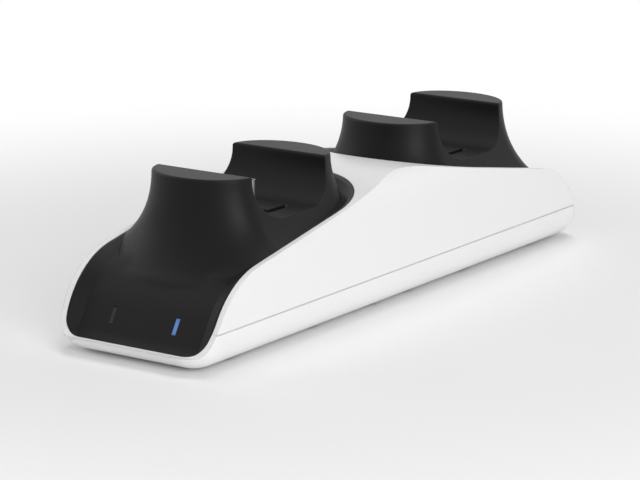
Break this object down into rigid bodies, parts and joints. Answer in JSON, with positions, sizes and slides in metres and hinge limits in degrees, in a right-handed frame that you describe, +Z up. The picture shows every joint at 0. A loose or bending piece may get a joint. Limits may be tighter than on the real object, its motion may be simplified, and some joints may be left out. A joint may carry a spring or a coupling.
{
  "type": "controller charging dock",
  "caption": "Long low white dock with a black cradle at each end, whose flared posts flank a bay with a plug-in charging adapter for a game controller.",
  "frame": {"origin": "centre of the dock's plan, at the level of the surface the feet stand on", "axes": "+X to the dock's right seen from its front, +Y from the front end with the light bars to the rear end with the inlet, +Z up"},
  "size_m": [0.0516, 0.1958, 0.0458],
  "materials": {
    "white_plastic": "white moulded plastic, satin",
    "black_plastic": "black moulded plastic, fine matte",
    "adapter_plastic": "black moulded plastic, fine matte",
    "light_unlit": "smoked light pipe, unlit",
    "light_lit": "frosted light pipe, lit blue",
    "led_body": "moulded lamp body",
    "circuit_board": "green coated circuit board",
    "chip_body": "moulded chip body",
    "connector_steel": "drawn steel, satin",
    "connector_insert": "black moulded insert",
    "contact_brass": "gilded contact",
    "wire_sleeve": "extruded wire sleeve",
    "screw_steel": "zinc plated",
    "foot_rubber": "grey rubber, matte"
  },
  "bodies": {
    "root": {"upper_shell": "white_plastic", "base_tray": "white_plastic", "front_cradle": "black_plastic", "rear_cradle": "black_plastic", "left_light_pipe": "light_unlit", "right_light_pipe": "light_lit", "left_led": "led_body", "right_led": "led_body", "main_board": "circuit_board", "charge_chips": "chip_body", "inlet_shell": "connector_steel", "inlet_tongue": "connector_insert", "case_screws": "screw_steel", "board_screws": "screw_steel", "front_adapter_case": "adapter_plastic", "front_adapter_lid": "adapter_plastic", "front_adapter_board": "circuit_board", "front_adapter_pads": "contact_brass", "front_plug_shell": "connector_steel", "front_plug_insert": "connector_insert", "front_contact_board": "circuit_board", "front_leaf_contacts": "contact_brass", "front_wires": "wire_sleeve", "foot_front_left": "foot_rubber", "foot_front_right": "foot_rubber", "rear_adapter_case": "adapter_plastic", "rear_adapter_lid": "adapter_plastic", "rear_adapter_board": "circuit_board", "rear_adapter_pads": "contact_brass", "rear_plug_shell": "connector_steel", "rear_plug_insert": "connector_insert", "rear_contact_board": "circuit_board", "rear_leaf_contacts": "contact_brass", "rear_wires": "wire_sleeve", "foot_rear_left": "foot_rubber", "foot_rear_right": "foot_rubber"}
  },
  "joints": []
}
